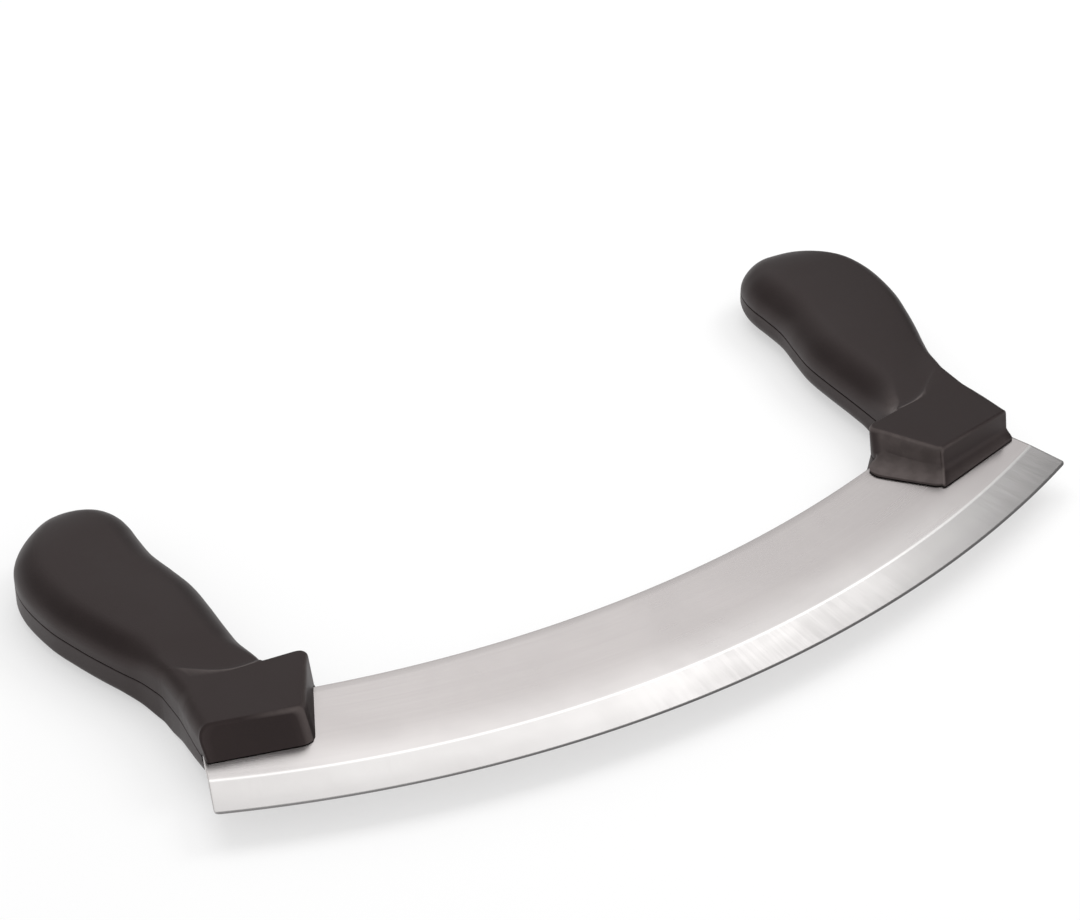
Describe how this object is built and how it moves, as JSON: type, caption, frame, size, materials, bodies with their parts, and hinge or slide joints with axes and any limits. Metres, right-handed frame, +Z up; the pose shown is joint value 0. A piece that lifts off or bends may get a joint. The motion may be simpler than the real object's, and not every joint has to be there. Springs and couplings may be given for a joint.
{
  "type": "rocker pizza cutter",
  "caption": "Rocker pizza cutter: a long curved ground steel blade with a moulded black handle at each end, rocked over the food with both hands.",
  "frame": {"origin": "under the middle of the whole knife, on the surface that it lies on", "axes": "+X along the blade towards the right-hand handle, +Y from the cutting edge to the butts of the handles, +Z up off the surface"},
  "size_m": [0.343, 0.1856, 0.0222],
  "materials": {
    "blade_steel": "satin ground stainless steel, polished along the bevel",
    "handle_plastic": "matte moulded black plastic with a fine grain",
    "pin_steel": "plain drawn steel pin, hidden inside the handle"
  },
  "bodies": {
    "root": {"blade": "blade_steel", "left_handle_upper": "handle_plastic", "left_handle_lower": "handle_plastic", "left_front_pin": "pin_steel", "left_rear_pin": "pin_steel", "right_handle_upper": "handle_plastic", "right_handle_lower": "handle_plastic", "right_front_pin": "pin_steel", "right_rear_pin": "pin_steel"}
  },
  "joints": []
}
